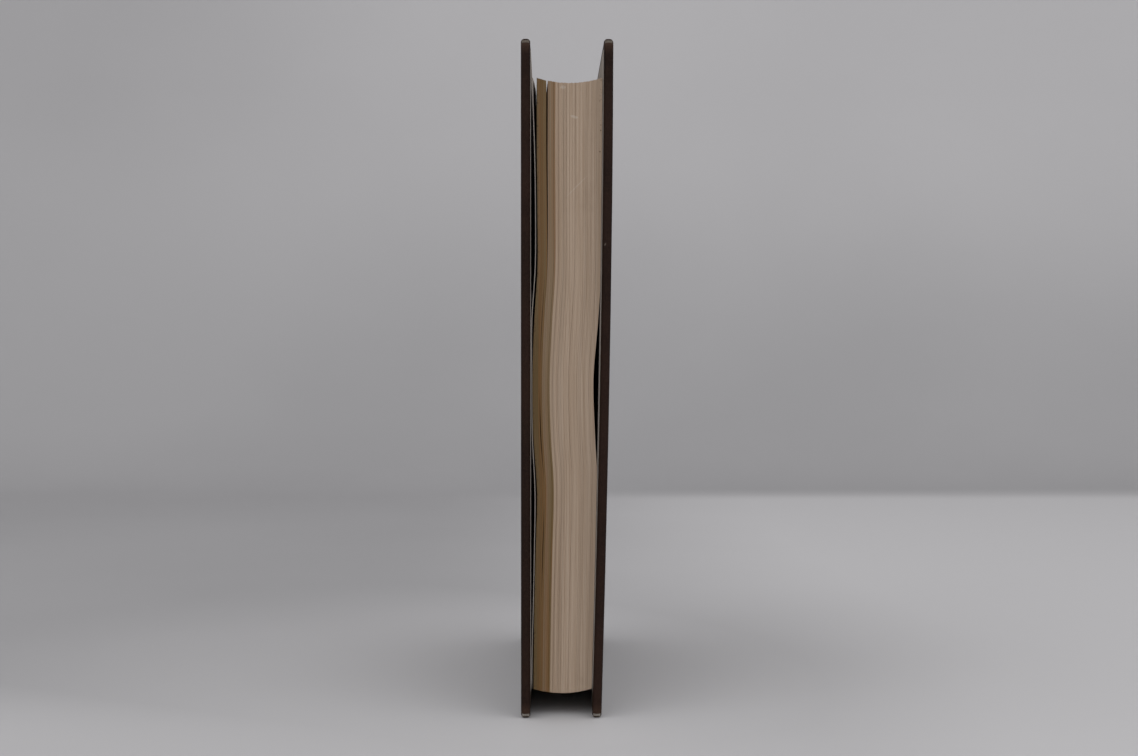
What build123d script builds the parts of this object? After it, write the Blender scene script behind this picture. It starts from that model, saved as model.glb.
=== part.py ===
import os
from math import asin, degrees, sqrt

from build123d import *

# A leather-bound book that stands on its tail, in millimetres.
# X runs across its thickness with the front cover at -X, the fore edge faces -Y and the spine +Y.
# The origin is on the floor under the middle of the closed book.

# Closed book over the leather
cover_height = 240.0
book_depth = 165.0
book_thickness = 32.6

# Covers: a board in its leather, card between the turn-ins, and the paper pasted over them
board_thickness = 2.1
leather_thickness = 0.6
turn_in_width = 15.0
edge_round = 1.2
corner_round = 3.0
card_gap = 0.3
pastedown_thickness = 0.2
pastedown_margin = 3.5

# Corners rubbed through to the board, which has frayed level with the leather
wear_radius = 1.1
wear_setback = 0.35

# Warp that draws the back cover's fore edge in towards the tail
warp = 4.2
warp_curve = 1.66

# Joint between a cover and the spine, and the room that a closed cover leaves the leaves
joint_gap = 1.0
shoulder_width = 3.2
closing_gap = 0.3

# Glue between two layers that are not face to face
glue_line = 0.05

# Spine: rounded back, cords under raised bands, linings between the cords, headbands
spine_round = 5.0
spine_leather_thickness = 0.8
shoulder_round = 2.4
lining_thickness = 0.4
lining_margin = 0.4
cord_count = 5
cord_diameter = 2.0
cord_sides = 8
cord_reach = 12.5
back_flats = 10
band_foot = 3.4
cap_inset = 0.5
cap_round = 0.6
headband_diameter = 2.2
headband_reach = 11.5

# Leaves, and the squares by which the covers overreach them
head_square = 11.5
tail_square = 11.5
fore_edge_square = 5.0
fore_edge_hollow = 0.8
flyleaf_thickness = 0.2
leaf_gap = 0.1
flare_start = 0.3
gathering_count = 12
groove_width = 0.3
groove_depth = 0.5

# Sag of the leaves: next to none at the spine, and at the fore edge beside the covers and at the middle
sag_at_spine = 0.02
sag_at_sides = 1.8
sag_at_middle = 3.5

# Open slit between the second and third gatherings, down from the head
slit_gathering = 2
slit_width = 0.9
slit_depth = 40.0
slit_foot = 0.62

# Cockle of the leaves at the fore edge: room to each cover at even steps from the tail to the head
front_room = [0.2, 0.3, 0.6, 1.2, 1.6, 0.7, 0.0, 0.5, 1.6, 1.7, 1.5, 1.5, 1.5]
back_room = [0.0, 0.0, 0.0, 0.0, 0.2, 1.2, 1.6, 0.7, 0.1, 0.0, 0.0, 0.0, 0.0]
flyleaf_share = 0.55

# Places that follow from the sizes
half = book_thickness / 2
fore_y = -book_depth / 2
cover_thickness = board_thickness + 2 * leather_thickness
band_rise = cord_diameter - lining_thickness
panel_y = book_depth / 2 - band_rise
spine_radius = (half**2 + spine_round**2) / (2 * spine_round)
spine_centre = panel_y - spine_radius
shoulder_y = panel_y - spine_round
spine_edge_y = shoulder_y - shoulder_width
board_back = spine_edge_y - joint_gap
spine_inner_radius = spine_radius - spine_leather_thickness
block_radius = spine_inner_radius - lining_thickness - 2 * glue_line
cord_radius = cord_diameter / 2
cord_line = block_radius + glue_line + cord_radius
band_radius = cord_radius + glue_line + spine_leather_thickness
block_fore = fore_y + fore_edge_square
head_level = cover_height - head_square
paper_depth = cover_thickness + pastedown_thickness + closing_gap
block_side = half - paper_depth - flyleaf_thickness - leaf_gap
shoulder_x = half - spine_leather_thickness - leaf_gap
panel_height = (head_level - tail_square) / (cord_count + 1)
cord_heights = [tail_square + number * panel_height for number in range(1, cord_count + 1)]
beyond = book_thickness
overhang = corner_round

os.makedirs("parts", exist_ok=True)


def keep(piece, name):
    """Label one finished piece and write it to its own file."""
    piece.label = name
    export_step(piece, f"parts/{name}.step")


def warp_share(y):
    """How much of the warp is felt at a depth: none at the joint, all at the fore edge."""
    return (board_back - y) / (board_back - fore_y)


def lean(z):
    """How far the back cover's fore edge is drawn in at a height."""
    return warp * max(0.0, 1 - z / cover_height) ** warp_curve


def cover_point(side, depth, y, z):
    """A point of a cover, by its depth under the outer face, and its places across and up."""
    drawn_in = lean(z) * warp_share(y) if side > 0 else 0.0
    return (side * (half - depth - drawn_in), y)


def layer(side, near, far):
    """One layer of a cover between two depths under the outer face, larger than the cover all round."""
    front = fore_y - overhang
    back = board_back + overhang
    count = 4 if side > 0 else 1
    with BuildPart() as slab:
        for number in range(count + 1):
            z = -overhang + (cover_height + 2 * overhang) * number / count
            with BuildSketch(Plane.XY.offset(z)):
                with BuildLine():
                    Polyline(
                        cover_point(side, near, front, z),
                        cover_point(side, near, back, z),
                        cover_point(side, far, back, z),
                        cover_point(side, far, front, z),
                        close=True,
                    )
                make_face()
        loft()
    return slab.part


def bumped_board(side, inset):
    """A cover's form with its bumped corners, drawn in by an inset all round but at the joint."""
    with BuildPart() as form:
        add(layer(side, inset, cover_thickness - inset))
        with BuildSketch(Plane.YZ) as outline:
            with BuildLine():
                Polyline(
                    (board_back, inset),
                    (fore_y + inset, inset),
                    (fore_y + inset, cover_height - inset),
                    (board_back, cover_height - inset),
                    close=True,
                )
            make_face()
            fillet(outline.vertices().group_by(Axis.X)[0], corner_round - inset)
        extrude(amount=beyond, both=True, mode=Mode.INTERSECT)
    return form.part


def worn_corners():
    """Rods across the two bumped corners of a cover, where the leather is rubbed through."""
    slope = corner_round * (1 - sqrt(0.5))
    with BuildPart() as rods:
        with BuildSketch(Plane.YZ):
            with Locations((fore_y + slope, slope), (fore_y + slope, cover_height - slope)):
                Circle(wear_radius)
        extrude(amount=beyond, both=True)
    return rods.part


def sheet_outline(margin, back):
    """A block that trims a sheet inside a cover to a margin on its three free edges."""
    with BuildPart() as outline:
        with BuildSketch(Plane.YZ):
            with BuildLine():
                Polyline(
                    (back, margin),
                    (fore_y + margin, margin),
                    (fore_y + margin, cover_height - margin),
                    (back, cover_height - margin),
                    close=True,
                )
            make_face()
        extrude(amount=beyond, both=True)
    return outline.part


# Covers: each board, its leather, the card between the turn-ins and the pastedown
for side, name in ((-1, "front"), (1, "back")):
    core = bumped_board(side, leather_thickness)
    inner_face = cover_thickness - leather_thickness
    wear = worn_corners()

    with BuildPart() as outside:
        add(bumped_board(side, 0.0))
        faces = outside.faces().sort_by(Axis.X)
        rims = faces[0].edges() + faces[-1].edges()
        fillet(rims.filter_by(lambda edge: edge.center().Y < board_back - corner_round), edge_round)

    with BuildPart() as board:
        add(bumped_board(side, wear_setback))
        add(wear, mode=Mode.INTERSECT)
        add(core)
    keep(board.part, f"{name}_board")

    with BuildPart() as window:
        add(layer(side, inner_face, cover_thickness + leather_thickness))
        add(sheet_outline(turn_in_width, board_back + joint_gap), mode=Mode.INTERSECT)

    with BuildPart() as leather:
        add(outside.part)
        add(core, mode=Mode.SUBTRACT)
        add(window.part, mode=Mode.SUBTRACT)
        add(wear, mode=Mode.SUBTRACT)
    keep(leather.part, f"{name}_cover_leather")

    with BuildPart() as card:
        add(layer(side, inner_face + glue_line, cover_thickness - glue_line))
        add(sheet_outline(turn_in_width + card_gap, board_back), mode=Mode.INTERSECT)
    keep(card.part, f"{name}_infill_card")

    with BuildPart() as pastedown:
        add(layer(side, cover_thickness, cover_thickness + pastedown_thickness))
        add(sheet_outline(pastedown_margin, board_back), mode=Mode.INTERSECT)
    keep(pastedown.part, f"{name}_pastedown")


# Head and tail of the leaves: level at the spine, sagging towards the fore edge, most at the middle
with BuildPart() as trimmed_height:
    for y, side_drop, middle_drop in (
        (book_depth / 2, 0.0, sag_at_spine),
        (board_back, 0.0, sag_at_spine),
        (fore_y, sag_at_sides, sag_at_middle),
    ):
        rise = (middle_drop - side_drop) * (half / block_side) ** 2
        with BuildSketch(Plane.XZ.offset(-y)):
            with BuildLine():
                tail = tail_square - middle_drop
                head = head_level - middle_drop
                ThreePointArc((-half, tail + rise), (0, tail), (half, tail + rise))
                Line((half, tail + rise), (half, head + rise))
                ThreePointArc((half, head + rise), (0, head), (-half, head + rise))
                Line((-half, head + rise), (-half, tail + rise))
            make_face()
    loft(ruled=True)


def halved(values):
    """The values with one more in the middle of each step, on the smooth curve through them."""
    ends = [values[0], *values, values[-1]]
    middles = [(9 * (b + c) - a - d) / 16 for a, b, c, d in zip(ends, ends[1:], ends[2:], ends[3:])]
    return [value for pair in zip(values, middles) for value in pair] + values[-1:]


cockle_steps = 2 * (len(front_room) - 1)
cockle_heights = [cover_height * number / cockle_steps for number in range(cockle_steps + 1)]
cockle = list(zip(cockle_heights, halved(front_room), halved(back_room)))


def gathering_x(z, to_front, to_back, number, y):
    """Where the boundary after a number of gatherings lies at a height and a depth."""
    leaning = lean(z) * warp_share(block_fore)
    turned = (board_back - y) / (board_back - block_fore)
    left = -block_side + to_front * turned
    right = block_side - (to_back + leaning) * turned
    return left + number / gathering_count * (right - left)


def fore_edge_y(number):
    """The slightly hollow fore edge, at the boundary after a number of gatherings."""
    return block_fore + fore_edge_hollow * (1 - (2 * number / gathering_count - 1) ** 2)


def block_section(z, to_front, to_back):
    """The page block's outline at one height, with a groove at the fore edge between gatherings."""
    left = gathering_x(z, to_front, to_back, 0, block_fore)
    right = gathering_x(z, to_front, to_back, gathering_count, block_fore)
    fore_edge = [(left, block_fore)]
    for number in range(1, gathering_count):
        x = gathering_x(z, to_front, to_back, number, block_fore)
        y = fore_edge_y(number)
        fore_edge += [(x - groove_width / 2, y), (x, y + groove_depth), (x + groove_width / 2, y)]
    fore_edge.append((right, block_fore))
    shoulder = spine_centre + sqrt(block_radius**2 - shoulder_x**2)
    flare_y = board_back + flare_start
    with BuildSketch(Plane.XY.offset(z)) as section:
        with BuildLine():
            Polyline(*fore_edge)
            Polyline((right, block_fore), (block_side, flare_y), (shoulder_x, shoulder))
            ThreePointArc((shoulder_x, shoulder), (0, spine_centre + block_radius), (-shoulder_x, shoulder))
            Polyline((-shoulder_x, shoulder), (-block_side, flare_y), (left, block_fore))
        make_face()
    return section.sketch


def slit_section(z, to_front, to_back):
    """The open slit's outline at one height, a wedge between two gatherings that narrows inwards."""
    opened = (z / cover_height - slit_foot) / (1 - slit_foot)
    width = 2 * groove_width + slit_width * opened
    front = fore_edge_y(slit_gathering)
    end = front + 2 * groove_depth + slit_depth * opened
    mouth_x = gathering_x(z, to_front, to_back, slit_gathering, front)
    end_x = gathering_x(z, to_front, to_back, slit_gathering, end)
    with BuildSketch(Plane.XY.offset(z)) as section:
        with BuildLine():
            Polyline(
                (mouth_x - width / 2, front - groove_depth),
                (end_x, end),
                (mouth_x + width / 2, front - groove_depth),
                close=True,
            )
        make_face()
    return section.sketch


with BuildPart() as slit:
    loft(sections=[slit_section(*row) for row in cockle if row[0] > slit_foot * cover_height], ruled=True)

with BuildPart() as page_block:
    loft(sections=[block_section(*row) for row in cockle], ruled=True)
    add(trimmed_height.part, mode=Mode.INTERSECT)
    add(slit.part, mode=Mode.SUBTRACT)
keep(page_block.part, "page_block")

# Front flyleaf: it hangs between the cover and the cockled leaves
with BuildPart() as front_flyleaf:
    for z, to_front, to_back in cockle[::2]:
        root = -half + paper_depth
        hang = root + flyleaf_share * to_front
        with BuildSketch(Plane.XY.offset(z)):
            with BuildLine():
                Polyline(
                    (hang, block_fore),
                    (root, board_back),
                    (root + flyleaf_thickness, board_back),
                    (hang + flyleaf_thickness, block_fore),
                    close=True,
                )
            make_face()
    loft()
    add(trimmed_height.part, mode=Mode.INTERSECT)
keep(front_flyleaf.part, "front_flyleaf")

# Back flyleaf: it lies along the warped back cover
with BuildPart() as back_flyleaf:
    add(layer(1, paper_depth, paper_depth + flyleaf_thickness))
    add(sheet_outline(fore_edge_square, board_back), mode=Mode.INTERSECT)
    add(trimmed_height.part, mode=Mode.INTERSECT)
keep(back_flyleaf.part, "back_flyleaf")


back_plane = Plane(origin=(0, spine_centre, 0), x_dir=(0, 1, 0), z_dir=(1, 0, 0))
back_axis = Axis((0, spine_centre, 0), (0, 0, 1))
flat_turn = 180 / cord_sides


def ring_sector(profile, reach):
    """A profile carried round the back in short flats, until its outer side is a reach from the middle."""
    outer = profile.bounding_box().max.Y - spine_centre
    turn = degrees(asin(reach / outer))
    steps = [turn * (2 * number / back_flats - 1) for number in range(back_flats + 1)]
    with BuildPart() as ring:
        loft(sections=[profile.rotate(back_axis, step) for step in steps], ruled=True)
    return ring.part

# Sewing cords across the back of the gatherings
for number, height in enumerate(cord_heights, 1):
    with BuildSketch(back_plane) as cord_profile:
        with Locations((cord_line, height)):
            RegularPolygon(cord_radius, cord_sides, major_radius=False, rotation=flat_turn)
    keep(ring_sector(cord_profile.sketch, cord_reach), f"sewing_cord_{number}")

# Linings glued to the back in the panels between the cords
panel_ends = [tail_square]
for height in cord_heights:
    panel_ends += [height - cord_radius, height + cord_radius]
panel_ends.append(head_level)
for number in range(cord_count + 1):
    low = panel_ends[2 * number] + lining_margin
    high = panel_ends[2 * number + 1] - lining_margin
    with BuildSketch(back_plane) as lining_profile:
        with Locations((block_radius + glue_line + lining_thickness / 2, (low + high) / 2)):
            Rectangle(lining_thickness, high - low)
    keep(ring_sector(lining_profile.sketch, shoulder_x - lining_margin), f"spine_lining_{number + 1}")

# Headbands on the two ends of the leaves, in front of the turned-in caps
headband_line = spine_radius - 2 * spine_leather_thickness - glue_line - headband_diameter / 2
headband_lift = headband_diameter / 2 + glue_line
for end, height in (("head", head_level + headband_lift), ("tail", tail_square - headband_lift)):
    with BuildSketch(back_plane) as headband_profile:
        with Locations((headband_line, height)):
            RegularPolygon(headband_diameter / 2, cord_sides, major_radius=False, rotation=flat_turn)
    keep(ring_sector(headband_profile.sketch, headband_reach), f"headband_{end}")


# Spine leather: a skin over the back and its shoulders, thickened to raised bands and turned in at the caps
with BuildPart() as bands:
    for height in cord_heights:
        with BuildSketch(back_plane) as hull:
            with Locations((cord_line, height)):
                RegularPolygon(band_radius, cord_sides, major_radius=False, rotation=flat_turn)
            with Locations((spine_radius - spine_leather_thickness / 2, height)):
                Rectangle(spine_leather_thickness, 2 * band_foot)
            make_hull()
        revolve(axis=back_axis)
    with BuildSketch(Plane.XY):
        with BuildLine():
            Polyline(
                (-half, shoulder_y),
                (-half + band_foot, shoulder_y + band_foot),
                (-half + band_foot, book_depth / 2),
                (half - band_foot, book_depth / 2),
                (half - band_foot, shoulder_y + band_foot),
                (half, shoulder_y),
                close=True,
            )
        make_face()
    extrude(amount=cover_height, mode=Mode.INTERSECT)

cord_grooves = []
for height in cord_heights:
    with BuildSketch(back_plane) as groove_profile:
        with Locations((cord_line, height)):
            RegularPolygon(cord_radius + glue_line, cord_sides, major_radius=False, rotation=flat_turn)
    cord_grooves.append(ring_sector(groove_profile.sketch, cord_reach + 2 * glue_line))


def spine_outline(inset, z):
    """The spine's plan inside an inset, at one height: the round of the back between its two shoulders."""
    radius = spine_radius - inset
    side = half - inset
    shoulder = spine_centre + sqrt(radius**2 - side**2)
    with BuildSketch(Plane.XY.offset(z)) as outline:
        with BuildLine():
            Polyline((-side, shoulder), (-side, spine_edge_y), (side, spine_edge_y), (side, shoulder))
            ThreePointArc((side, shoulder), (0, spine_centre + radius), (-side, shoulder))
        make_face()
        fillet(outline.vertices().group_by(Axis.Y)[-1], shoulder_round - inset)
    return outline.sketch


cap_top = tail_square - glue_line
cap_foot = head_level + glue_line
with BuildPart() as spine_leather:
    add(spine_outline(0.0, cap_inset))
    extrude(amount=cover_height - 2 * cap_inset)
    rims = spine_leather.faces().filter_by(Axis.Z).edges()
    fillet(rims.filter_by(lambda edge: edge.center().Y > spine_edge_y + glue_line), cap_round)
    add(bands.part)
    add(spine_outline(spine_leather_thickness, cap_top))
    extrude(amount=cap_foot - cap_top, mode=Mode.SUBTRACT)
    add(spine_outline(2 * spine_leather_thickness, 0.0))
    extrude(amount=cover_height, mode=Mode.SUBTRACT)
    for groove in cord_grooves:
        add(groove, mode=Mode.SUBTRACT)
keep(spine_leather.part, "spine_leather")
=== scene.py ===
import math
import random

import bmesh
import bpy
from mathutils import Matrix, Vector


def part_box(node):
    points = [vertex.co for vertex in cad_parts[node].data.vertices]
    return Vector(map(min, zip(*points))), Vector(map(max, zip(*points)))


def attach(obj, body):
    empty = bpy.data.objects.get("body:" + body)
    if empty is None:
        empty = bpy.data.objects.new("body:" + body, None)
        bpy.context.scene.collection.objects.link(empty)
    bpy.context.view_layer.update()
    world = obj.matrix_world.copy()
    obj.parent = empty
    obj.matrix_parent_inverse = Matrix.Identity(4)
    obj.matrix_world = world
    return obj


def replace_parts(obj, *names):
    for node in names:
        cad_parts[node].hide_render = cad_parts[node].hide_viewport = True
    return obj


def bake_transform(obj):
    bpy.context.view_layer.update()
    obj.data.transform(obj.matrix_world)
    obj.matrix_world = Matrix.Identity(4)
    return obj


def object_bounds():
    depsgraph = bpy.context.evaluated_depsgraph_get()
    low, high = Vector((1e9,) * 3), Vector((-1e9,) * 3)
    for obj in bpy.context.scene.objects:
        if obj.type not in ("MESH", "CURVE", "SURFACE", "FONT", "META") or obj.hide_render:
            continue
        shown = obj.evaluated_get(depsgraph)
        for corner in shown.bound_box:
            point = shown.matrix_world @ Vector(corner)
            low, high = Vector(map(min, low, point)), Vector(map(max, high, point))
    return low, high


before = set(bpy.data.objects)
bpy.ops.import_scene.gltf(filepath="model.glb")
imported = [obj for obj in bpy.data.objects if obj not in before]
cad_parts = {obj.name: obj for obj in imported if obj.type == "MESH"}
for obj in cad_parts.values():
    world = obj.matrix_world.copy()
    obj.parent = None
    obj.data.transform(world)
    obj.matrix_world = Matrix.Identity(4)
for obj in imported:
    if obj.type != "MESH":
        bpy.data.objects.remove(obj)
cad_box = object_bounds()
mm = 0.001


# Leather over the boards and the back: one skin of dark brown calf, pared, turned in over the boards'
# edges and pasted down. It has a fine pored grain, a dull polish, and is rubbed paler along its edges.
def new_group(name, numbers, outputs):
    """A shader node group with named number inputs and named outputs."""
    group = bpy.data.node_groups.new(name, "ShaderNodeTree")
    for label, default in numbers.items():
        socket = group.interface.new_socket(name=label, in_out="INPUT", socket_type="NodeSocketFloat")
        socket.default_value = default
    for label, kind in outputs.items():
        group.interface.new_socket(name=label, in_out="OUTPUT", socket_type=kind)
    entry = group.nodes.new("NodeGroupInput")
    way_out = group.nodes.new("NodeGroupOutput")
    return group, entry, way_out


def use_group(tree, group, **numbers):
    """The group placed in a material with its own values."""
    node = tree.nodes.new("ShaderNodeGroup")
    node.node_tree = group
    for label, value in numbers.items():
        node.inputs[label.replace("_", " ")].default_value = value
    return node


def new_material(name, roughness):
    """A material and its shader, with the constant roughness on the shader's own socket."""
    material = bpy.data.materials.new(name)
    material.use_nodes = True
    shader = material.node_tree.nodes["Principled BSDF"]
    shader.inputs["Roughness"].default_value = roughness
    return material, material.node_tree, shader


def mix_colours(tree, mask, first, second):
    """A colour that turns from the first to the second as the mask rises; either may be a socket."""
    mix = tree.nodes.new("ShaderNodeMix")
    mix.data_type = "RGBA"
    tree.links.new(mask, mix.inputs["Factor"])
    for end, colour in (("A", first), ("B", second)):
        socket = [s for s in mix.inputs if s.name == end and s.type == "RGBA"][0]
        if isinstance(colour, bpy.types.NodeSocket):
            tree.links.new(colour, socket)
        else:
            socket.default_value = (*colour, 1.0)
    return [s for s in mix.outputs if s.type == "RGBA"][0]


def maths(tree, operation, *values, clamp=False):
    """The result of one Math node on sockets or plain numbers."""
    node = tree.nodes.new("ShaderNodeMath")
    node.operation = operation
    node.use_clamp = clamp
    for place, value in enumerate(values):
        if isinstance(value, bpy.types.NodeSocket):
            tree.links.new(value, node.inputs[place])
        else:
            node.inputs[place].default_value = value
    return node.outputs[0]


def ramp(tree, value, low, high):
    """A mask that rises from 0 at the low value to 1 at the high one."""
    node = tree.nodes.new("ShaderNodeMapRange")
    node.interpolation_type = "SMOOTHSTEP"
    node.inputs["From Min"].default_value = low
    node.inputs["From Max"].default_value = high
    tree.links.new(value, node.inputs["Value"])
    return node.outputs["Result"]


def noise_at(tree, coordinates, scale, detail=3.0, roughness=0.55, stretch=None):
    """Noise over the object's own coordinates, stretched along its axes if that is asked."""
    node = tree.nodes.new("ShaderNodeTexNoise")
    node.inputs["Scale"].default_value = scale
    node.inputs["Detail"].default_value = detail
    node.inputs["Roughness"].default_value = roughness
    if stretch:
        mapping = tree.nodes.new("ShaderNodeMapping")
        mapping.inputs["Scale"].default_value = stretch
        tree.links.new(coordinates, mapping.inputs["Vector"])
        coordinates = mapping.outputs["Vector"]
    tree.links.new(coordinates, node.inputs["Vector"])
    return node.outputs["Fac"]


def feed_bump(tree, shader, height, distance, strength=1.0):
    """Height that roughens the shader's normal."""
    bump = tree.nodes.new("ShaderNodeBump")
    bump.inputs["Distance"].default_value = distance
    bump.inputs["Strength"].default_value = strength
    tree.links.new(height, bump.inputs["Height"])
    tree.links.new(bump.outputs["Normal"], shader.inputs["Normal"])


def dress(material, *names):
    """Gives CAD nodes a finish in every one of their material slots."""
    for name in names:
        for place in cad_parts[name].material_slots:
            place.material = material


pore_relief = 0.7
crease_scale = 420.0
crease_relief = 1.1
fibre_scale = 2600.0
fibre_relief = 0.35
cloud_scale = 34.0
hide_grain, entry, way_out = new_group(
    "hide_grain",
    {"Pores per metre": 1500.0},
    {"Height": "NodeSocketFloat", "Speckle": "NodeSocketFloat", "Cloud": "NodeSocketFloat"},
)
place = hide_grain.nodes.new("ShaderNodeTexCoord").outputs["Object"]
pores = hide_grain.nodes.new("ShaderNodeTexVoronoi")
pores.feature = "SMOOTH_F1"
hide_grain.links.new(place, pores.inputs["Vector"])
hide_grain.links.new(entry.outputs["Pores per metre"], pores.inputs["Scale"])
fibre = noise_at(hide_grain, place, fibre_scale, 4.0, 0.6)
creases = noise_at(hide_grain, place, crease_scale, 5.0, 0.65)
pored = maths(hide_grain, "MULTIPLY", pores.outputs["Distance"], pore_relief)
creased = maths(hide_grain, "MULTIPLY", creases, crease_relief)
fibrous = maths(hide_grain, "MULTIPLY", fibre, fibre_relief)
height = maths(hide_grain, "ADD", maths(hide_grain, "ADD", creased, pored), fibrous)
hide_grain.links.new(height, way_out.inputs["Height"])
hide_grain.links.new(ramp(hide_grain, fibre, 0.42, 0.72), way_out.inputs["Speckle"])
hide_grain.links.new(noise_at(hide_grain, place, cloud_scale, 4.0, 0.6), way_out.inputs["Cloud"])

edge_wear = 0.09
corner_wear = 0.4
corner_reach = 4.0
handled_reach = 3.0 * mm
faded_reach = 22.0 * mm
ragged_scale = 900.0
cover_edge = cad_box[0][1]
book_foot = cad_box[0][2]
book_height = cad_box[1][2]
rubbed_edges, entry, way_out = new_group(
    "rubbed_edges",
    {"Foot": book_foot, "Head": book_height, "Front": cover_edge, "Reach": 2 * mm},
    {"Rub": "NodeSocketFloat", "Inside": "NodeSocketFloat"},
)
place = rubbed_edges.nodes.new("ShaderNodeTexCoord").outputs["Object"]
axes = rubbed_edges.nodes.new("ShaderNodeSeparateXYZ")
rubbed_edges.links.new(place, axes.inputs["Vector"])
from_foot = maths(rubbed_edges, "SUBTRACT", axes.outputs["Z"], entry.outputs["Foot"])
from_head = maths(rubbed_edges, "SUBTRACT", entry.outputs["Head"], axes.outputs["Z"])
from_front = maths(rubbed_edges, "SUBTRACT", axes.outputs["Y"], entry.outputs["Front"])
from_end = maths(rubbed_edges, "MINIMUM", from_foot, from_head)
nearest = maths(rubbed_edges, "MINIMUM", from_end, from_front)
farther = maths(rubbed_edges, "MAXIMUM", from_end, from_front)
edge = maths(rubbed_edges, "DIVIDE", nearest, entry.outputs["Reach"])
round_corner = maths(rubbed_edges, "MULTIPLY", entry.outputs["Reach"], corner_reach)
corner = maths(rubbed_edges, "DIVIDE", farther, round_corner)
ragged = noise_at(rubbed_edges, place, ragged_scale, 5.0, 0.7)
edge = maths(rubbed_edges, "ADD", edge, maths(rubbed_edges, "MULTIPLY", ragged, 1.2))
along_edge = maths(rubbed_edges, "MULTIPLY", ramp(rubbed_edges, edge, 1.0, 0.4), edge_wear)
near_both = ramp(rubbed_edges, corner, 1.0, 0.2)
at_corner = maths(rubbed_edges, "MULTIPLY", near_both, ramp(rubbed_edges, edge, 2.0, 0.8))
at_corner = maths(rubbed_edges, "MULTIPLY", at_corner, corner_wear)
rub = maths(rubbed_edges, "ADD", along_edge, at_corner, clamp=True)
rubbed_edges.links.new(rub, way_out.inputs["Rub"])
inwards = maths(rubbed_edges, "ADD", nearest, maths(rubbed_edges, "MULTIPLY", ragged, 4.0 * mm))
faded = ramp(rubbed_edges, inwards, handled_reach, faded_reach)
rubbed_edges.links.new(faded, way_out.inputs["Inside"])

calf_dark = (0.0088, 0.0034, 0.0022)
calf_brown = (0.0165, 0.0068, 0.0043)
calf_speck = (0.04, 0.019, 0.012)
calf_rubbed = (0.08, 0.045, 0.03)
calf_warm = (0.034, 0.0135, 0.0078)
calf_gloss = 0.11
calf_polished = 0.42
calf_dull = 0.66
calf_fading = 0.7
calf_specks = 0.4
grain_depth = 0.00016

# A small pale nick in the edge of the back board
nick_place = (13.4 * mm, -82.4 * mm, 167.4 * mm)
nick_size = (0.35 * mm, 2.0 * mm, 0.8 * mm)
nick_turn = 25.0
calf_nick = (0.11, 0.088, 0.074)
spot_ragged_scale = 1800.0


def spot(tree, centre, size, turn):
    """A mask of 1 in a ragged oval about a point, turned in the plane of the fore edge."""
    mapping = tree.nodes.new("ShaderNodeMapping")
    mapping.vector_type = "TEXTURE"
    mapping.inputs["Location"].default_value = centre
    mapping.inputs["Rotation"].default_value = (0.0, math.radians(turn), 0.0)
    mapping.inputs["Scale"].default_value = size
    place = tree.nodes.new("ShaderNodeTexCoord").outputs["Object"]
    tree.links.new(place, mapping.inputs["Vector"])
    oval = tree.nodes.new("ShaderNodeTexGradient")
    oval.gradient_type = "SPHERICAL"
    tree.links.new(mapping.outputs["Vector"], oval.inputs["Vector"])
    ragged = noise_at(tree, place, spot_ragged_scale, 3.0, 0.6)
    return ramp(tree, maths(tree, "MULTIPLY", oval.outputs["Fac"], ragged), 0.08, 0.3)


def calf(name, pores, reach):
    """Dark calf with its grain, its clouded dye and its rubbed edges."""
    material, tree, shader = new_material(name, calf_dull)
    shader.inputs["Specular IOR Level"].default_value = calf_gloss
    grain = use_group(tree, hide_grain, Pores_per_metre=pores)
    worn = use_group(tree, rubbed_edges, Reach=reach)
    clouded = ramp(tree, grain.outputs["Cloud"], 0.35, 0.68)
    colour = mix_colours(tree, clouded, calf_dark, calf_brown)
    uneven = maths(tree, "ADD", clouded, 0.35)
    faded = maths(tree, "MULTIPLY", worn.outputs["Inside"], uneven, clamp=True)
    colour = mix_colours(tree, maths(tree, "MULTIPLY", faded, calf_fading), colour, calf_warm)
    speckled = maths(tree, "MULTIPLY", grain.outputs["Speckle"], calf_specks)
    colour = mix_colours(tree, speckled, colour, calf_speck)
    colour = mix_colours(tree, worn.outputs["Rub"], colour, calf_rubbed)
    nick = spot(tree, nick_place, nick_size, nick_turn)
    colour = mix_colours(tree, nick, colour, calf_nick)
    tree.links.new(colour, shader.inputs["Base Color"])
    dull = tree.nodes.new("ShaderNodeMapRange")
    dull.inputs["To Min"].default_value = calf_polished
    dull.inputs["To Max"].default_value = calf_dull
    tree.links.new(grain.outputs["Speckle"], dull.inputs["Value"])
    tree.links.new(dull.outputs["Result"], shader.inputs["Roughness"])
    feed_bump(tree, shader, grain.outputs["Height"], grain_depth, 0.9)
    return material


cover_calf = calf("cover_calf", 1500.0, 1.6 * mm)
dress(cover_calf, "front_cover_leather", "back_cover_leather")

# Back leather: the same skin drawn over the rounded back, its raised bands and the two caps.
# The grain is a little finer where it was stretched.
spine_calf = calf("spine_calf", 1800.0, 0.9 * mm)
dress(spine_calf, "spine_leather")


# Joints: the leather between cover and back, which dips into a narrow crease. One strip at each side, let
# in flush with the skin before and behind it.
back_low, back_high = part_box("spine_leather")
cover_low, cover_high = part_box("front_cover_leather")
outer_x = -cover_low[0]
crease_front = cover_high[1]
crease_back = back_low[1]
crease_depth = 0.55 * mm
strip_thickness = 0.45 * mm
tuck = 0.7 * mm
skin_depth = 0.12 * mm


def mesh_piece(mesh, name, *materials, smooth=True):
    """A scene object from finished faces, all turned outwards, in its materials."""
    bmesh.ops.recalc_face_normals(mesh, faces=mesh.faces)
    data = bpy.data.meshes.new(name)
    mesh.to_mesh(data)
    mesh.free()
    if smooth:
        data.shade_smooth()
    for material in materials:
        data.materials.append(material)
    piece = bpy.data.objects.new(name, data)
    bpy.context.collection.objects.link(piece)
    return piece


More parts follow.
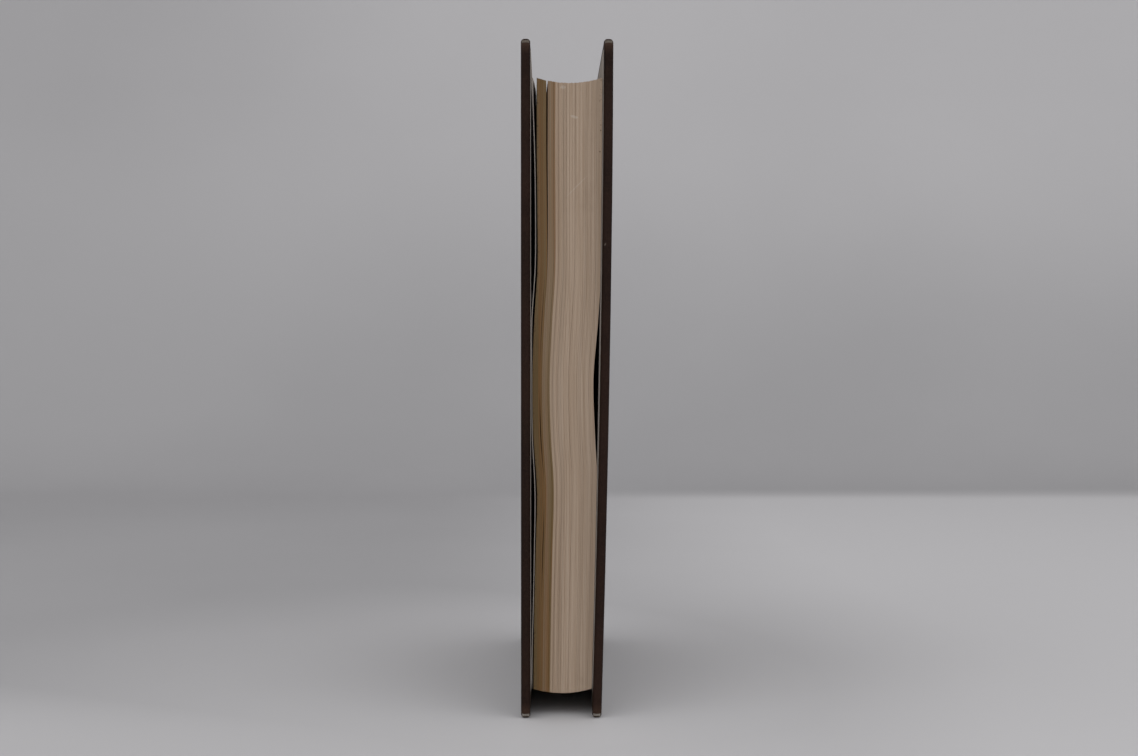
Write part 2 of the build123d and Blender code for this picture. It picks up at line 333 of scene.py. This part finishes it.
def joint_strip(side, body):
    """A strip of leather along one joint, curved across as the crease is."""
    steps_across = 16
    steps_up = 60
    low = back_low[2] + skin_depth
    high = back_high[2] - skin_depth
    mesh = bmesh.new()
    rows = []
    for up in range(steps_up + 1):
        z = low + (high - low) * up / steps_up
        row = []
        for layer in (0, 1):
            for across in range(steps_across + 1):
                step = across if layer == 0 else steps_across - across
                share = step / steps_across
                y = crease_front - tuck + (crease_back - crease_front + 2 * tuck) * share
                dip = skin_depth + crease_depth * math.sin(math.pi * share) ** 2
                x = outer_x - dip - layer * strip_thickness
                row.append(mesh.verts.new((side * x, y, z)))
        rows.append(row)
    count = len(rows[0])
    for lower, upper in zip(rows, rows[1:]):
        for place in range(count):
            after = (place + 1) % count
            mesh.faces.new((lower[place], lower[after], upper[after], upper[place]))
    mesh.faces.new(rows[0])
    mesh.faces.new(rows[-1])
    strip = mesh_piece(mesh, f"{body}_joint_leather", spine_calf)
    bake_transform(strip)


joint_strip(-1, "front_cover")
joint_strip(1, "back_cover")


# Page block: about two hundred leaves in twelve sewn gatherings, trimmed, cockled by damp and sagging
# between the covers. The outer leaves at the front are toned brown; two packs of them stand open.
rng = random.Random(11)
block_low, block_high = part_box("page_block")
gatherings = 12
leaves_each = 16
leaves = gatherings * leaves_each
tail_level = 11.5 * mm
head_level = 228.5 * mm
fore_edge = block_low[1]
flare_y = 72.0 * mm
spine_x = 12.2 * mm
shoulder_x = 15.4 * mm
shoulder_y = 74.9 * mm
spine_top_y = block_high[1]
sag_sides = 1.8 * mm
sag_middle = 3.5 * mm
hollow = 0.7 * mm
warp = 4.2 * mm
warp_curve = 1.66
cover_inner = 13.0 * mm
joint_y = 71.7 * mm
endpaper_room = 0.42 * mm

# Where the first and the last leaf stand at the fore edge, in mm, at even heights from tail to head
front_cockle = [
    -12.0, -11.85, -11.6, -11.1, -10.65, -11.95,
    -12.25, -11.65, -10.45, -10.5, -10.7, -10.7, -10.7,
]
back_cockle = [9.0, 9.65, 10.25, 10.65, 11.0, 9.95, 9.4, 11.0, 12.3, 12.5, 12.7, 12.86, 12.9]


def along(values, share):
    """A smooth curve through evenly spaced values."""
    last = len(values) - 1
    position = min(max(share, 0.0), 1.0) * last
    start = min(int(position), last - 1)
    t = position - start
    before, here, there, after = (values[min(max(start + step, 0), last)] for step in (-1, 0, 1, 2))
    bend = 2 * before - 5 * here + 4 * there - after
    twist = 3 * here - before - 3 * there + after
    return 0.5 * (2 * here + (there - before) * t + bend * t * t + twist * t**3)


def back_lean(y, z):
    """How far the warped back cover is drawn in at a depth and a height."""
    share = (joint_y - y) / (joint_y - cover_edge)
    return warp * max(0.0, 1 - z / book_height) ** warp_curve * share


def leaf_x(share, y, z):
    """Where a leaf lies across the block, by its share of the thickness, its depth and its height."""
    free_front = along(front_cockle, z / book_height) * mm
    against_cover = cover_inner - endpaper_room - back_lean(fore_edge, z)
    free_back = min(along(back_cockle, z / book_height) * mm, against_cover)
    if y <= flare_y:
        turned = (flare_y - y) / (flare_y - fore_edge)
        front = -spine_x + (free_front + spine_x) * turned
        back = spine_x + (free_back - spine_x) * turned
    else:
        flared = min(1.0, (y - flare_y) / (shoulder_y - flare_y))
        back = spine_x + (shoulder_x - spine_x) * flared
        front = -back
    return front + (back - front) * share


def sag(share, y):
    """How far the leaves hang down: not at the spine, most at the middle of the fore edge."""
    reach = max(0.0, (flare_y - y) / (flare_y - fore_edge))
    middle = 1 - (2 * share - 1) ** 2
    return (sag_sides + (sag_middle - sag_sides) * middle) * reach


def back_y(share):
    """The rounded back of the leaves."""
    return shoulder_y + (spine_top_y - shoulder_y) * (1 - (2 * share - 1) ** 2)


# Openings between packs of leaves: the leaf each lies before, how deep it runs, and its widths at the
# fore edge in mm, at even heights from tail to head
open_slit = {"leaf": 30, "depth": 24 * mm, "widths": [0, 0, 0, 0, 0, 0, 0, 0, 0.1, 0.36, 0.5, 0.6, 0.66]}
lens_slit = {"leaf": 23, "depth": 14 * mm, "widths": [0, 0, 0, 0.26, 0, 0.3, 0, 0.16, 0, 0, 0, 0, 0]}
slits = (lens_slit, open_slit)
pushed_leaves = 7


def opened(slit, y, z):
    """How wide a slit stands open at a depth and a height."""
    inward = max(0.0, 1 - (y - fore_edge) / slit["depth"])
    return max(0.0, along(slit["widths"], z / book_height)) * mm * inward


def shifted_x(leaf, y, z, pack):
    """A leaf boundary's place, pushed aside where the pack it belongs to stands open."""
    x = leaf_x(leaf / leaves, y, z)
    for number, slit in enumerate(slits):
        push = 0.5 * opened(slit, y, z)
        near = math.exp(-abs(leaf - slit["leaf"]) / pushed_leaves)
        x += push * near if pack > number else -push * near
    return x


first_group = 30 / leaves
second_group = 54 / leaves
outer_brown = 0.94
second_brown = (0.55, 0.85)
inner_brown = 0.22
brown_fall = 6


def browned(share):
    """How brown the leaves are toned: strongly at the front, hardly at all further in."""
    if share < first_group:
        return outer_brown
    if share < second_group:
        through = (share - first_group) / (second_group - first_group)
        return second_brown[0] + (second_brown[1] - second_brown[0]) * through
    return inner_brown * math.exp((second_group - share) * brown_fall)


# How far each leaf's edge stands back from the fore edge and up from its neighbours, and its own tone
uneven_step = 0.04
gathering_step = 0.13
set_back_chance = 0.05
set_back = (0.05, 0.2)
uneven_level = 0.12
leaf_step = []
leaf_level = []
leaf_shade = []
for leaf in range(leaves):
    opens_gathering = leaf % leaves_each == 0
    step = rng.uniform(-uneven_step, uneven_step) + (gathering_step if opens_gathering else 0.0)
    if rng.random() < set_back_chance:
        step += rng.uniform(*set_back)
    leaf_step.append(step * mm)
    leaf_level.append(rng.uniform(-uneven_level, uneven_level) * mm)
    leaf_shade.append(rng.gauss(0, 1))

rows = 96
depths = 12
mesh = bmesh.new()
brown_layer = mesh.verts.layers.float.new("browned")
shade_layer = mesh.verts.layers.float.new("leaf_shade")
share_layer = mesh.verts.layers.float.new("leaf_share")


def leaf_vertex(leaf, edge, y, z, pack):
    """A vertex on one side of a leaf, carrying that leaf's tone."""
    vertex = mesh.verts.new((shifted_x(leaf + edge, y, z, pack), y, z))
    vertex[brown_layer] = browned((leaf + 0.5) / leaves)
    vertex[shade_layer] = leaf_shade[leaf]
    vertex[share_layer] = (leaf + 0.5) / leaves
    return vertex


def strip_between(left, right):
    """Quads between two lines of vertices."""
    for low_left, high_left, low_right, high_right in zip(left, left[1:], right, right[1:]):
        mesh.faces.new((low_left, low_right, high_right, high_left))


def leaf_loop(leaf, edge, pack):
    """The line round one side of a leaf: up the fore edge, back along the head, down and along the tail."""
    share = (leaf + 0.5) / leaves
    front = fore_edge + hollow * (1 - (2 * share - 1) ** 2) + leaf_step[leaf]
    back = back_y(share)
    inward = [front + (flare_y - front) * number / (depths - 2) for number in range(depths - 1)]
    inward += [0.5 * (flare_y + back), back]
    low = [tail_level - sag(share, y) + leaf_level[leaf] for y in inward]
    high = [head_level - sag(share, y) + leaf_level[leaf] for y in inward]
    loop = [(front, low[0] + (high[0] - low[0]) * number / rows) for number in range(rows + 1)]
    loop += list(zip(inward, high))[1:]
    loop += list(zip(reversed(inward), reversed(low)))
    loop = loop[:-1]
    return [leaf_vertex(leaf, edge, y, z, pack) for y, z in loop]


def close_side(loop, boundary, pack):
    """The flat of a pack's outer leaf, filled between its own edges."""
    front = loop[: rows + 1]
    head = loop[rows : rows + depths + 1]
    tail = [loop[0]] + loop[: rows + depths : -1]
    grid = [front]
    for number in range(1, depths):
        top = head[number].co
        foot = tail[number].co
        line = [tail[number]]
        for step in range(1, rows):
            z = foot.z + (top.z - foot.z) * step / rows
            vertex = mesh.verts.new((shifted_x(boundary, foot.y, z, pack), foot.y, z))
            vertex[brown_layer] = loop[0][brown_layer]
            vertex[shade_layer] = loop[0][shade_layer]
            vertex[share_layer] = loop[0][share_layer]
            line.append(vertex)
        line.append(head[number])
        grid.append(line)
    for near, far in zip(grid, grid[1:]):
        strip_between(near, far)
    mesh.faces.new([tail[depths], *grid[-1], head[depths]])


pack_ends = [0, lens_slit["leaf"], open_slit["leaf"], leaves]
for pack, (first, last) in enumerate(zip(pack_ends, pack_ends[1:])):
    previous = None
    for leaf in range(first, last):
        left = leaf_loop(leaf, 0, pack)
        right = leaf_loop(leaf, 1, pack)
        if previous is None:
            close_side(left, first, pack)
        else:
            strip_between(previous + previous[:1], left + left[:1])
        strip_between(left + left[:1], right + right[:1])
        previous = right
    close_side(previous, last, pack)

paper_cream = (0.37, 0.275, 0.2)
paper_pale = (0.455, 0.355, 0.275)
paper_orange = (0.18, 0.093, 0.036)
paper_olive = (0.155, 0.102, 0.046)
paper_dirt = (0.09, 0.055, 0.03)
paper_scuff = (0.52, 0.45, 0.38)
paper_roughness = 0.9
paper_gloss = 0.2
streak_scales = (1500.0, 40.0, 14.0)
band_scales = (800.0, 20.0, 5.0)
foxing_scale = 60.0
speck_scale = 1100.0
extra_brown_low = 0.3
brown_by_leaf = 0.035
dark_leaves = 0.25
foxing = 0.14
speck_levels = (190 * mm, 205 * mm)
streak_depth = 0.00012


def carried(tree, name):
    """A number that the mesh carries for each leaf."""
    node = tree.nodes.new("ShaderNodeAttribute")
    node.attribute_name = name
    return node.outputs["Fac"]


leaf_paper, tree, shader = new_material("leaf_paper", paper_roughness)
shader.inputs["Specular IOR Level"].default_value = paper_gloss
place = tree.nodes.new("ShaderNodeTexCoord").outputs["Object"]
brown = carried(tree, "browned")
shade = carried(tree, "leaf_shade")
across = carried(tree, "leaf_share")
axes = tree.nodes.new("ShaderNodeSeparateXYZ")
tree.links.new(place, axes.inputs["Vector"])
streaks = noise_at(tree, place, 1.0, 4.0, 0.6, stretch=streak_scales)
bands = noise_at(tree, place, 1.0, 3.0, 0.6, stretch=band_scales)
clouds = noise_at(tree, place, foxing_scale, 3.0, 0.55)
colour = mix_colours(tree, ramp(tree, streaks, 0.3, 0.72), paper_cream, paper_pale)
tone = mix_colours(tree, ramp(tree, bands, 0.42, 0.58), paper_orange, paper_olive)
lower = maths(tree, "MULTIPLY", ramp(tree, axes.outputs["Z"], 150 * mm, 60 * mm), brown)
browning = maths(tree, "ADD", brown, maths(tree, "MULTIPLY", lower, extra_brown_low), clamp=True)
browning = maths(tree, "ADD", browning, maths(tree, "MULTIPLY", shade, brown_by_leaf), clamp=True)
colour = mix_colours(tree, browning, colour, tone)
dark_leaf = maths(tree, "MULTIPLY", ramp(tree, shade, 0.6, 2.6), dark_leaves)
colour = mix_colours(tree, dark_leaf, colour, paper_dirt)
foxed = maths(tree, "MULTIPLY", ramp(tree, clouds, 0.6, 0.8), foxing)
colour = mix_colours(tree, foxed, colour, paper_dirt)
last_leaves = maths(tree, "MULTIPLY", ramp(tree, across, 0.95, 0.965), ramp(tree, across, 0.992, 0.98))
near_head = ramp(tree, axes.outputs["Z"], *speck_levels)
last_leaves = maths(tree, "MULTIPLY", last_leaves, near_head)
outer = maths(tree, "ADD", ramp(tree, across, 0.045, 0.005), last_leaves, clamp=True)
specks = ramp(tree, noise_at(tree, place, speck_scale, 2.0, 0.5), 0.58, 0.68)
colour = mix_colours(tree, maths(tree, "MULTIPLY", outer, specks), colour, paper_dirt)

# Two scuffs near the head, a faint scratch that runs down to the left, and a dark spot at mid-height
for centre, size, turn, strength in (
    ((-1.4 * mm, -77.0 * mm, 223.5 * mm), (1.4 * mm, 4 * mm, 1.0 * mm), 0, 0.5),
    ((2.6 * mm, -77.0 * mm, 213.0 * mm), (2.2 * mm, 4 * mm, 0.8 * mm), 15, 0.5),
    ((3.6 * mm, -77.0 * mm, 188.5 * mm), (8.0 * mm, 4 * mm, 0.3 * mm), -45, 0.35),
):
    scuff = maths(tree, "MULTIPLY", spot(tree, centre, size, turn), strength)
    colour = mix_colours(tree, scuff, colour, paper_scuff)
dark_spot = spot(tree, (-12.2 * mm, -77.5 * mm, 105.0 * mm), (0.5 * mm, 4 * mm, 0.6 * mm), 0)
colour = mix_colours(tree, dark_spot, colour, paper_dirt)
tree.links.new(colour, shader.inputs["Base Color"])
feed_bump(tree, shader, streaks, streak_depth, 0.6)
block = mesh_piece(mesh, "leaves", leaf_paper, smooth=False)
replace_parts(block, "page_block")
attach(block, "root")


# Endpapers: a plain pale grey sheet at each end, pasted to the cover on one side of its fold and free
# on the other. The free leaf at the front hangs in waves between the cover and the leaves.
endpaper_base = (0.35, 0.314, 0.285)
endpaper_tan = (0.315, 0.28, 0.25)
endpaper_painted_shade = (0.03, 0.022, 0.016)
mottle_scale = 240.0
fibre_scale = 1800.0
fibre_depth = 0.00008
painted_shade_levels = (17 * mm, 10 * mm)
endpaper, tree, shader = new_material("endpaper", 0.88)
shader.inputs["Specular IOR Level"].default_value = paper_gloss
place = tree.nodes.new("ShaderNodeTexCoord").outputs["Object"]
axes = tree.nodes.new("ShaderNodeSeparateXYZ")
tree.links.new(place, axes.inputs["Vector"])
mottled = noise_at(tree, place, mottle_scale, 6.0, 0.65)
fibres = noise_at(tree, place, fibre_scale, 3.0, 0.6)
colour = mix_colours(tree, ramp(tree, mottled, 0.35, 0.75), endpaper_base, endpaper_tan)
# Painted shade: from about 17 mm down to 10 mm above the floor the endpapers darken to nearly black, for the
# unlit hollow under the leaves at the tail.
painted_shade_line = maths(tree, "ADD", axes.outputs["Z"], maths(tree, "MULTIPLY", mottled, 6 * mm))
colour = mix_colours(tree, ramp(tree, painted_shade_line, *painted_shade_levels), colour, endpaper_painted_shade)
tree.links.new(colour, shader.inputs["Base Color"])
feed_bump(tree, shader, fibres, fibre_depth, 0.5)
dress(endpaper, "front_pastedown", "back_pastedown")

front_leaf_thickness = 0.3 * mm
back_leaf_thickness = 0.15 * mm
leaf_rows = 96
leaf_depths = 40
pasted_gap = 0.21 * mm
beside_leaves = 0.08 * mm
fanned_reach = 45 * mm
fold_drape = 5 * mm
fold_seam = 73.0 * mm
behind_edge = 0.2 * mm

# Where the front sheet hangs at the fore edge, in mm, at even heights from tail to head
front_hang = [-12.6, -12.5, -12.0, -11.6, -11.4, -12.35, -12.5, -12.55, -11.3, -11.2, -11.5, -12.15, -12.3]


def flyleaf_plan(side, y, z):
    """A flyleaf's outer face: fanned out from the leaves in front, along the warped cover behind."""
    if side > 0:
        along_cover = cover_inner - pasted_gap - back_lean(y, z)
        beside = leaf_x(1.0, y, z) + beside_leaves + back_leaf_thickness
        near_fold = min(1.0, max(0.0, 1 - (flare_y - y) / fold_drape))
        return along_cover + (beside - along_cover) * near_fold**2
    beside = leaf_x(0.0, y, z) - beside_leaves
    mouth = leaf_x(0.0, fore_edge, z) - beside_leaves
    hang = along(front_hang, z / book_height) * mm + 0.5 * front_leaf_thickness
    fanned = max(0.0, 1 - (y - fore_edge) / fanned_reach) ** 2
    return beside - max(0.0, mouth - hang) * fanned - front_leaf_thickness


def flyleaf(side, name):
    """A thin sheet between the cover and the leaves, hanging with their sag."""
    share = 0.0 if side < 0 else 1.0
    thickness = front_leaf_thickness if side < 0 else back_leaf_thickness
    mesh = bmesh.new()
    layers = []
    for layer in (0, 1):
        grid = []
        for number in range(leaf_depths + 1):
            y = fore_edge + behind_edge + (fold_seam - fore_edge - behind_edge) * number / leaf_depths
            low = tail_level - sag(share, y)
            high = head_level - sag(share, y)
            line = []
            for step in range(leaf_rows + 1):
                z = low + (high - low) * step / leaf_rows
                x = flyleaf_plan(side, y, z) - side * layer * thickness
                line.append(mesh.verts.new((x, y, z)))
            grid.append(line)
        for near, far in zip(grid, grid[1:]):
            for a, b, c, d in zip(near, near[1:], far, far[1:]):
                mesh.faces.new((a, b, d, c))
        layers.append(grid)
    outer, inner = layers
    for near, far in ((outer[0], inner[0]), (inner[-1], outer[-1])):
        for a, b, c, d in zip(near, near[1:], far, far[1:]):
            mesh.faces.new((a, c, d, b))
    for end in (0, -1):
        for number in range(leaf_depths):
            a, b = outer[number][end], outer[number + 1][end]
            c, d = inner[number][end], inner[number + 1][end]
            mesh.faces.new((a, b, d, c))
    sheet = mesh_piece(mesh, name, endpaper)
    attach(sheet, "root")
    return sheet


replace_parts(flyleaf(-1, "front_free_endpaper"), "front_flyleaf")
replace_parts(flyleaf(1, "back_free_endpaper"), "back_flyleaf")

# Fold of each endpaper: from the pastedown round the board's back edge, through the joint and down the
# flared shoulder of the leaves to the free leaf.
fold_paper = 0.13 * mm
fold_low = tail_level + 0.2 * mm
fold_high = head_level - 0.2 * mm
fold_x = [12.9, 13.4, 14.9, 15.4, 15.6, 15.45, 14.9, 14.3, 13.8]
fold_y = [71.73, 71.82, 71.84, 71.98, 72.25, 72.52, 72.7, 72.82, 73.0]
fold_steps = 36


def endpaper_fold(side, body):
    """One fold: a thin strip along its route across, carried up the height of the leaves."""
    shares = [step / fold_steps for step in range(fold_steps + 1)]
    finer = [(along(fold_x, share), along(fold_y, share)) for share in shares]
    mesh = bmesh.new()
    rows_up = 24
    grid = []
    for number, (x, y) in enumerate(finer):
        ahead = finer[min(number + 1, len(finer) - 1)]
        behind = finer[max(number - 1, 0)]
        length = math.hypot(ahead[0] - behind[0], ahead[1] - behind[1])
        normal = ((behind[1] - ahead[1]) / length, (ahead[0] - behind[0]) / length)
        lines = []
        for lift in (0.0, fold_paper / mm):
            px, py = x + normal[0] * lift, y + normal[1] * lift
            levels = [fold_low + (fold_high - fold_low) * up / rows_up for up in range(rows_up + 1)]
            lines.append([mesh.verts.new((side * px * mm, py * mm, z)) for z in levels])
        grid.append(lines[0] + lines[1][::-1])
    for near, far in zip(grid, grid[1:]):
        count = len(near)
        for here in range(count):
            after = (here + 1) % count
            mesh.faces.new((near[here], near[after], far[after], far[here]))
    for end in (grid[0], grid[-1]):
        half_way = len(end) // 2
        for a, b, c, d in zip(end[:half_way], end[1:half_way], end[::-1], end[-2::-1]):
            mesh.faces.new((a, b, d, c))
    fold = mesh_piece(mesh, f"{body}_endpaper_fold", endpaper)
    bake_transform(fold)


endpaper_fold(-1, "front_cover")
endpaper_fold(1, "back_cover")


# Boards: grey-brown pasteboard, seen only where the leather is rubbed through at the corners, with
# the card that levels their inner face.
board_grey = (0.19, 0.172, 0.15)
board_tan = (0.42, 0.385, 0.34)
board_grime = (0.05, 0.036, 0.026)
ply_scales = (4000.0, 600.0, 600.0)
ply_depth = 0.0002
grime_levels = (200 * mm, 240.5 * mm)
grime_ragged = 4 * mm
grime_weight = 0.8
pasteboard, tree, shader = new_material("pasteboard", 0.92)
shader.inputs["Specular IOR Level"].default_value = paper_gloss
place = tree.nodes.new("ShaderNodeTexCoord").outputs["Object"]
axes = tree.nodes.new("ShaderNodeSeparateXYZ")
tree.links.new(place, axes.inputs["Vector"])
plies = noise_at(tree, place, 1.0, 4.0, 0.6, stretch=ply_scales)
colour = mix_colours(tree, ramp(tree, plies, 0.3, 0.7), board_grey, board_tan)
ragged = maths(tree, "MULTIPLY", noise_at(tree, place, ragged_scale), grime_ragged)
grime = ramp(tree, maths(tree, "ADD", axes.outputs["Z"], ragged), *grime_levels)
colour = mix_colours(tree, maths(tree, "MULTIPLY", grime, grime_weight), colour, board_grime)
tree.links.new(colour, shader.inputs["Base Color"])
feed_bump(tree, shader, plies, ply_depth, 0.8)
dress(pasteboard, "front_board", "back_board", "front_infill_card", "back_infill_card")


# Sewing cords and back linings: hemp cords sewn across the gatherings, and linen glued between them.
# They are closed in under the leather of the back.
hemp_light = (0.42, 0.33, 0.21)
hemp_dark = (0.2, 0.14, 0.08)
strand_scale = 500.0
strand_depth = 0.0003
hemp, tree, shader = new_material("hemp", 0.9)
place = tree.nodes.new("ShaderNodeTexCoord").outputs["Object"]
twist = tree.nodes.new("ShaderNodeTexWave")
twist.wave_type = "BANDS"
twist.bands_direction = "DIAGONAL"
twist.inputs["Scale"].default_value = strand_scale
twist.inputs["Distortion"].default_value = 2.0
tree.links.new(place, twist.inputs["Vector"])
tree.links.new(mix_colours(tree, twist.outputs["Fac"], hemp_dark, hemp_light), shader.inputs["Base Color"])
feed_bump(tree, shader, twist.outputs["Fac"], strand_depth, 0.8)
dress(hemp, *[f"sewing_cord_{number}" for number in range(1, 6)])

linen_light = (0.46, 0.42, 0.34)
linen_dark = (0.3, 0.26, 0.2)
weave_scale = 2200.0
weave_depth = 0.0001
linen, tree, shader = new_material("linen", 0.9)
place = tree.nodes.new("ShaderNodeTexCoord").outputs["Object"]
weave = tree.nodes.new("ShaderNodeTexChecker")
weave.inputs["Scale"].default_value = weave_scale
tree.links.new(place, weave.inputs["Vector"])
tree.links.new(mix_colours(tree, weave.outputs["Fac"], linen_dark, linen_light), shader.inputs["Base Color"])
feed_bump(tree, shader, weave.outputs["Fac"], weave_depth, 0.6)
dress(linen, *[f"spine_lining_{number}" for number in range(1, 7)])


# Headbands: silk worked in turns over a core at both ends of the spine, brown and cream by turns.
silk_brown = (0.09, 0.035, 0.02)
silk_cream = (0.5, 0.42, 0.3)
silk_scale = 3000.0
silk_depth = 0.0001
silk_sheen = 0.25
shaded = 0.55
turns = 46
steps_a_turn = 4
groove = 0.13
headband_gap = 0.02 * mm


def silk_thread(name, colour):
    """One colour of silk, with the fine strands of its thread."""
    material, tree, shader = new_material(name, 0.45)
    place = tree.nodes.new("ShaderNodeTexCoord").outputs["Object"]
    strands = noise_at(tree, place, silk_scale, 3.0, 0.6)
    dark = tuple(shaded * part for part in colour)
    tree.links.new(mix_colours(tree, strands, dark, colour), shader.inputs["Base Color"])
    feed_bump(tree, shader, strands, silk_depth, 0.7)
    shader.inputs["Sheen Weight"].default_value = silk_sheen
    return material


silks = [silk_thread("silk_brown", silk_brown), silk_thread("silk_cream", silk_cream)]


def headband(name, node):
    """A row of silk turns laid side by side over the curve of the band's core."""
    low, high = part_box(node)
    core = 0.5 * (high[2] - low[2])
    middle_z = 0.5 * (high[2] + low[2])
    half_span = 0.5 * (high[0] - low[0])
    rise = (high[1] - low[1]) - 2 * core
    radius = (half_span**2 + rise**2) / (2 * rise)
    centre_y = high[1] - core - radius
    spread = math.asin(half_span / radius)
    mesh = bmesh.new()
    sides = 12
    rings = []
    steps = steps_a_turn * turns
    for step in range(steps + 1):
        angle = -spread + 2 * spread * step / steps
        sunk = groove * abs(math.cos(math.pi * step / steps_a_turn))
        swell = 1 - sunk - headband_gap / core
        ring = []
        for side in range(sides):
            round_angle = 2 * math.pi * side / sides
            out = radius + core * swell * math.cos(round_angle)
            lift = core * swell * math.sin(round_angle)
            x, y = out * math.sin(angle), centre_y + out * math.cos(angle)
            ring.append(mesh.verts.new((x, y, middle_z + lift)))
        rings.append(ring)
    for number, (near, far) in enumerate(zip(rings, rings[1:])):
        for side in range(sides):
            after = (side + 1) % sides
            face = mesh.faces.new((near[side], near[after], far[after], far[side]))
            face.material_index = (number // steps_a_turn) % 2
    mesh.faces.new(rings[0])
    mesh.faces.new(rings[-1])
    band = mesh_piece(mesh, name, *silks)
    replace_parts(band, node)
    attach(band, "root")


headband("headband_silk_head", "headband_head")
headband("headband_silk_tail", "headband_tail")


# Studio: a light grey paper sweep, a broad soft light above and to the left, a weaker one at the right,
# and the camera level with the middle of the fore edge, a little over half a metre away.
sweep_grey = (0.34, 0.335, 0.345)
sweep_pale = (0.53, 0.523, 0.535)
sweep_width = 12.0
sweep_front = -6.0
sweep_bend = 0.84
sweep_back = 1.3
sweep_round = 0.46
sweep_top = 2.4
bend_steps = 16
upper_painted_light = 0.45
near_painted_light = 0.66
beside_painted_light = 0.8
cloud_tone = 0.12
sweep_material, tree, shader = new_material("paper_sweep", 0.8)
place = tree.nodes.new("ShaderNodeTexCoord").outputs["Object"]
axes = tree.nodes.new("ShaderNodeSeparateXYZ")
tree.links.new(place, axes.inputs["Vector"])
sideways, depth, level = (axes.outputs[letter] for letter in "XYZ")
paper_clouds = noise_at(tree, place, 2.2, 3.0, 0.5)
# Painted light: the sweep is paler up the wall, more so at the right, on the floor towards the camera and on
# the floor at the right.
to_right = ramp(tree, sideways, -0.12, 0.22)
behind_head = ramp(tree, sideways, -0.6, -0.05)
upper = maths(tree, "ADD", maths(tree, "MULTIPLY", behind_head, upper_painted_light), upper_painted_light)
upper = maths(tree, "MULTIPLY", ramp(tree, level, 0.08, 0.5), upper)
painted_light_near_floor = maths(tree, "MULTIPLY", ramp(tree, depth, 0.03, -0.1), near_painted_light)
before_bend = ramp(tree, depth, sweep_bend + 0.05, sweep_bend - 0.06)
painted_light_far_floor = maths(tree, "MULTIPLY", before_bend, to_right)
# Painted light: a pale pool on the floor round the book, making up for the light the book keeps off it.
from_book = tree.nodes.new("ShaderNodeVectorMath")
from_book.operation = "LENGTH"
tree.links.new(place, from_book.inputs[0])
painted_light_beside_book = ramp(tree, from_book.outputs["Value"], 0.3, 0.06)
painted_light_beside_book = maths(tree, "MULTIPLY", painted_light_beside_book, beside_painted_light)
# The painted light and the noise clouds together set how pale the sweep is.
pale = maths(tree, "MAXIMUM", maths(tree, "MAXIMUM", upper, painted_light_near_floor), painted_light_far_floor)
pale = maths(tree, "MAXIMUM", pale, painted_light_beside_book)
clouded = maths(tree, "MULTIPLY", ramp(tree, paper_clouds, 0.3, 0.7), cloud_tone)
pale = maths(tree, "ADD", pale, clouded, clamp=True)
colour = mix_colours(tree, pale, sweep_grey, sweep_pale)
tree.links.new(colour, shader.inputs["Base Color"])
mesh = bmesh.new()
bend_start = sweep_back - sweep_round
profile = [(sweep_front, 0.0), (bend_start, 0.0)]
for step in range(1, bend_steps + 1):
    angle = 0.5 * math.pi * step / bend_steps
    rise = sweep_round * (1 - math.cos(angle))
    profile.append((bend_start + sweep_round * math.sin(angle), rise))
profile.append((sweep_back, sweep_top))
left = [mesh.verts.new((-sweep_width / 2, y, z)) for y, z in profile]
right = [mesh.verts.new((sweep_width / 2, y, z)) for y, z in profile]
for a, b, c, d in zip(left, left[1:], right, right[1:]):
    mesh.faces.new((a, c, d, b))
mesh_piece(mesh, "paper_sweep", sweep_material)


lamp_size = 1.6
lit_point = (0.0, 0.0, 0.1)


def soft_light(name, power, at):
    """A broad square lamp that faces the book."""
    lamp = bpy.data.lights.new(name, "AREA")
    lamp.energy = power
    lamp.size = lamp_size
    holder = bpy.data.objects.new(name, lamp)
    holder.location = at
    holder.rotation_euler = (Vector(lit_point) - Vector(at)).to_track_quat("-Z", "Y").to_euler()
    bpy.context.collection.objects.link(holder)


soft_light("key", 6.0, (-0.9, -1.2, 1.5))
soft_light("fill", 5.0, (1.1, -1.1, 1.3))
room_light = (0.9, 0.9, 0.9)
room_seen = (0.36, 0.355, 0.365)
world = bpy.data.worlds.new("studio")
bpy.context.scene.world = world
world.use_nodes = True
tree = world.node_tree
rays = tree.nodes.new("ShaderNodeLightPath").outputs
seen = maths(tree, "MAXIMUM", rays["Is Camera Ray"], rays["Is Glossy Ray"])
seen = maths(tree, "MAXIMUM", seen, rays["Is Transmission Ray"])
tree.links.new(mix_colours(tree, seen, room_light, room_seen), tree.nodes["Background"].inputs["Color"])

photo_width = 1138
focal_pixels = 1575
sensor = 36.0
camera_distance = 554.3 * mm
camera_level = 126.7 * mm
camera_aside = -7.1 * mm
camera_tilt = 89.345
camera_turn = -0.8
lens_data = bpy.data.cameras.new("camera")
lens_data.sensor_width = sensor
lens_data.lens = sensor * focal_pixels / photo_width
lens_data.clip_start = 0.01
camera = bpy.data.objects.new("camera", lens_data)
camera.location = (camera_aside, cover_edge - camera_distance, camera_level)
camera.rotation_euler = (math.radians(camera_tilt), 0.0, math.radians(camera_turn))
bpy.context.collection.objects.link(camera)
bpy.context.scene.camera = camera
bpy.context.scene.view_settings.view_transform = "Standard"
